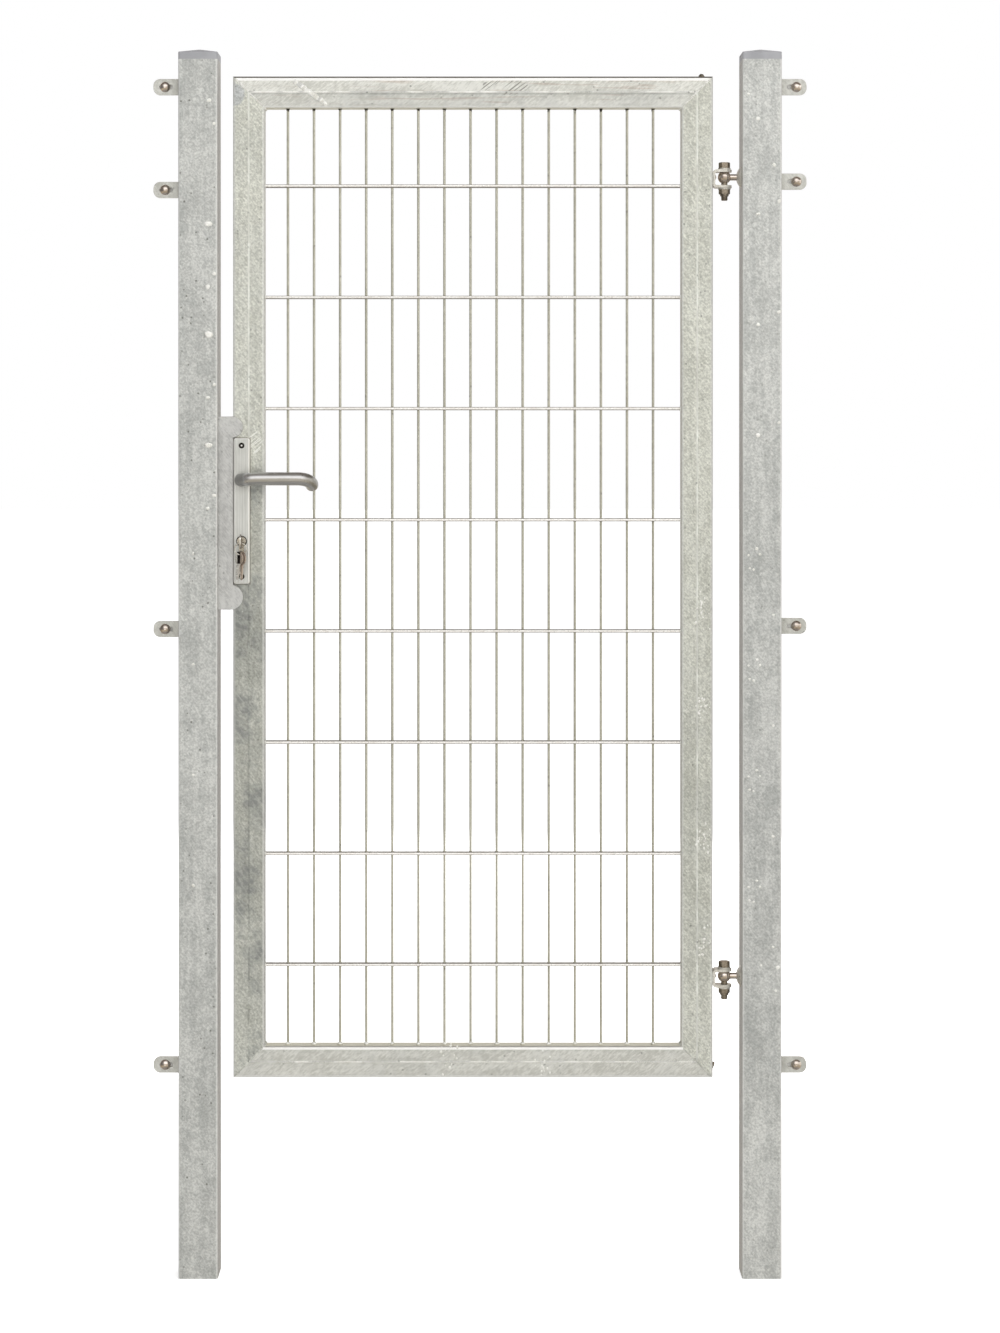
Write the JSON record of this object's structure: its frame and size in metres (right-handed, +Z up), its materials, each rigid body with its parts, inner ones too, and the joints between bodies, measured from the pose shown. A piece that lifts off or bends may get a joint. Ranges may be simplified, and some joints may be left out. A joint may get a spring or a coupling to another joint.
{
  "type": "mesh fence gate",
  "caption": "Single-leaf galvanised mesh fence gate hung between two square posts, with a lever-handled cylinder lock, bolt-through eye hinges, a stop plate and slotted fence tabs.",
  "frame": {"origin": "level of the post feet, midway between the posts in their middle plane", "axes": "+Z up, +X from the lock post to the hinge post, +Y to the back, the way the leaf opens"},
  "size_m": [1.251, 0.1565, 2.347],
  "materials": {
    "galvanised_post": "hot-dip galvanised, mottled",
    "grey_plastic": "light grey, fine grain",
    "galvanised_plate": "hot-dip galvanised, cooler grey",
    "galvanised_frame": "hot-dip galvanised over welds",
    "galvanised_wire": "hot-dip galvanised wire",
    "galvanised_hinge": "hot-dip galvanised",
    "zinc_fixings": "zinc plated",
    "lever_aluminium": "satin anodised",
    "plate_aluminium": "satin anodised",
    "lock_steel": "zinc plated sheet",
    "bolt_steel": "nickel plated",
    "nickel_brass": "matt nickel plated",
    "key_metal": "nickel plated"
  },
  "bodies": {
    "posts": {"lock_post": "galvanised_post", "hinge_post": "galvanised_post", "lock_post_cap": "grey_plastic", "hinge_post_cap": "grey_plastic", "lock_post_fence_tabs": "galvanised_post", "hinge_post_fence_tabs": "galvanised_post", "fence_clamp_bolts": "zinc_fixings", "fence_clamp_plates": "galvanised_plate", "fence_clamp_washers": "zinc_fixings", "fence_clamp_nuts": "zinc_fixings", "stop_plate": "galvanised_plate", "keeper_channel": "galvanised_plate", "upper_eye_bolt": "zinc_fixings", "lower_eye_bolt": "zinc_fixings", "upper_eye_socket": "galvanised_hinge", "lower_eye_socket": "galvanised_hinge"},
    "leaf": {"lock_stile": "galvanised_frame", "hinge_stile": "galvanised_frame", "top_rail": "galvanised_frame", "bottom_rail": "galvanised_frame", "upright_wires": "galvanised_wire", "front_cross_wires": "galvanised_wire", "rear_cross_wires": "galvanised_wire", "upper_hinge_clevis": "galvanised_hinge", "lower_hinge_clevis": "galvanised_hinge", "hinge_pin_bolts": "zinc_fixings", "hinge_pin_washers": "zinc_fixings", "hinge_pin_nuts": "zinc_fixings", "lock_case": "lock_steel", "lock_case_cover": "lock_steel", "lock_forend": "lock_steel", "forend_screws": "zinc_fixings", "front_lock_plate": "plate_aluminium", "rear_lock_plate": "plate_aluminium", "lock_plate_screws": "zinc_fixings", "cylinder_body": "nickel_brass", "cylinder_rear_plug": "nickel_brass", "cylinder_fixing_screw": "zinc_fixings", "latch_spring": "lock_steel"},
    "handles": {"front_lever": "lever_aluminium", "rear_knob": "lever_aluminium", "handle_grub_screws": "zinc_fixings", "lever_spindle": "lock_steel", "lock_follower": "lock_steel"},
    "latch": {"latch_bolt": "bolt_steel"},
    "bolt": {"dead_bolt": "bolt_steel"},
    "key": {"cylinder_plug": "nickel_brass", "cylinder_cam": "nickel_brass", "key_in_lock": "key_metal"},
    "keyring": {"key_ring": "key_metal", "spare_keys": "key_metal"}
  },
  "joints": [
    {"name": "gate_swing", "type": "hinge", "parent": "posts", "child": "leaf", "pos_m": [0.4685, 0, 1.337], "axis": [0, 0, -1], "range_deg": [0, 100]},
    {"name": "lever_turn", "type": "hinge", "parent": "leaf", "child": "handles", "pos_m": [-0.455, 0, 1.523], "axis": [0, 1, 0], "range_deg": [0, 40], "stiffness_Nm_per_rad": 1.5, "springref_deg": -34.38},
    {"name": "latch_slide", "type": "slide", "parent": "leaf", "child": "latch", "axis": [1, 0, 0], "range_m": [0, 0.012], "deforming": ["latch_spring"]},
    {"name": "key_turn", "type": "hinge", "parent": "leaf", "child": "key", "pos_m": [-0.455, 0, 1.406], "axis": [0, -1, 0], "range_deg": [0, 360]},
    {"name": "dead_bolt_slide", "type": "slide", "parent": "leaf", "child": "bolt", "axis": [-1, 0, 0], "range_m": [0, 0.02]},
    {"name": "key_ring_swing", "type": "hinge", "parent": "key", "child": "keyring", "pos_m": [-0.455, -0.0525, 1.406], "axis": [-1, 0, 0], "range_deg": [-5, 60]}
  ],
  "couplings": [
    {"joint": "latch_slide", "follows": "lever_turn", "m_per_rad": 0.01718},
    {"joint": "key_turn", "follows": "dead_bolt_slide", "rad_per_m": 314.1}
  ]
}
